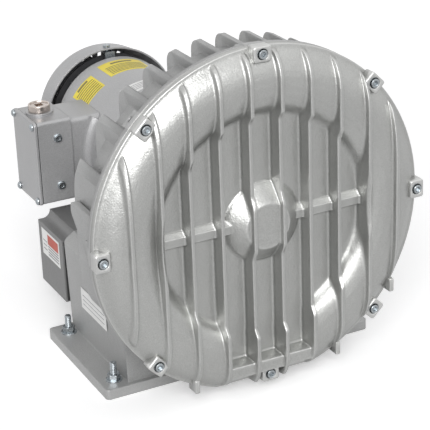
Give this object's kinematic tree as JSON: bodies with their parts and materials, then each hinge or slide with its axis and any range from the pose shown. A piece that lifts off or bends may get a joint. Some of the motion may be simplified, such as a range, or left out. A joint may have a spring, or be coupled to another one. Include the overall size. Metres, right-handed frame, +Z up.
{
  "type": "side channel blower",
  "caption": "Electric side channel blower: ribbed round cover, finned housing on a footed pedestal, muffler box with two ports, motor with fan cover and conduit box.",
  "frame": {"origin": "centre of the foot bolt pattern, on the underside of the feet", "axes": "+X to the right as seen from the cover, +Y from the cover to the motor along the spindle, +Z up"},
  "size_m": [0.397, 0.4694, 0.3985],
  "materials": {
    "cast_aluminium": "bare casting, semi-gloss with an orange peel skin",
    "housing_casting": "thin grey paint over a casting, satin",
    "motor_casting": "grey paint over a casting, satin",
    "motor_paint": "grey enamel over steel sheet, satin",
    "zinc_steel": "zinc plated",
    "bearing_steel": "ground",
    "impeller_casting": "machined casting",
    "lamination": "stacked steel sheet",
    "winding": "varnished copper wire",
    "gasket": "matt black",
    "foam": "open cell foam",
    "fan_plastic": "moulded black",
    "plug": "dull coppery cap"
  },
  "bodies": {
    "blower": {"front_cover": "cast_aluminium", "rear_housing": "housing_casting", "cover_washers": "zinc_steel", "cover_screws": "zinc_steel", "muffler_gasket": "gasket", "muffler_box": "housing_casting", "inlet_foam": "foam", "outlet_foam": "foam", "muffler_screws": "zinc_steel", "foot_studs": "zinc_steel", "foot_washers": "zinc_steel", "foot_nuts": "zinc_steel", "drive_end_bell": "motor_casting", "motor_mount_screws": "zinc_steel", "motor_shell": "motor_paint", "stator_core": "lamination", "stator_windings": "winding", "rear_end_bell": "motor_casting", "through_bolts": "zinc_steel", "shaft_seal": "gasket", "drive_bearing_outer": "bearing_steel", "rear_bearing_outer": "bearing_steel", "fan_cover": "motor_paint", "fan_cover_brackets": "zinc_steel", "fan_cover_screws": "zinc_steel", "conduit_base": "motor_paint", "conduit_box": "motor_paint", "conduit_box_screws": "zinc_steel", "conduit_gasket": "gasket", "conduit_lid": "motor_paint", "conduit_lid_screws": "zinc_steel", "conduit_plug": "plug"},
    "rotor": {"motor_shaft": "bearing_steel", "rotor_core": "lamination", "drive_bearing_inner": "bearing_steel", "rear_bearing_inner": "bearing_steel", "cooling_fan": "fan_plastic", "impeller": "impeller_casting", "impeller_key": "bearing_steel", "impeller_washer": "zinc_steel", "impeller_nut": "zinc_steel", "impeller_shims": "bearing_steel"}
  },
  "joints": [
    {"name": "rotor_spin", "type": "hinge", "parent": "blower", "child": "rotor", "pos_m": [0, 0, 0.2], "axis": [0, 1, 0], "continuous": true}
  ]
}
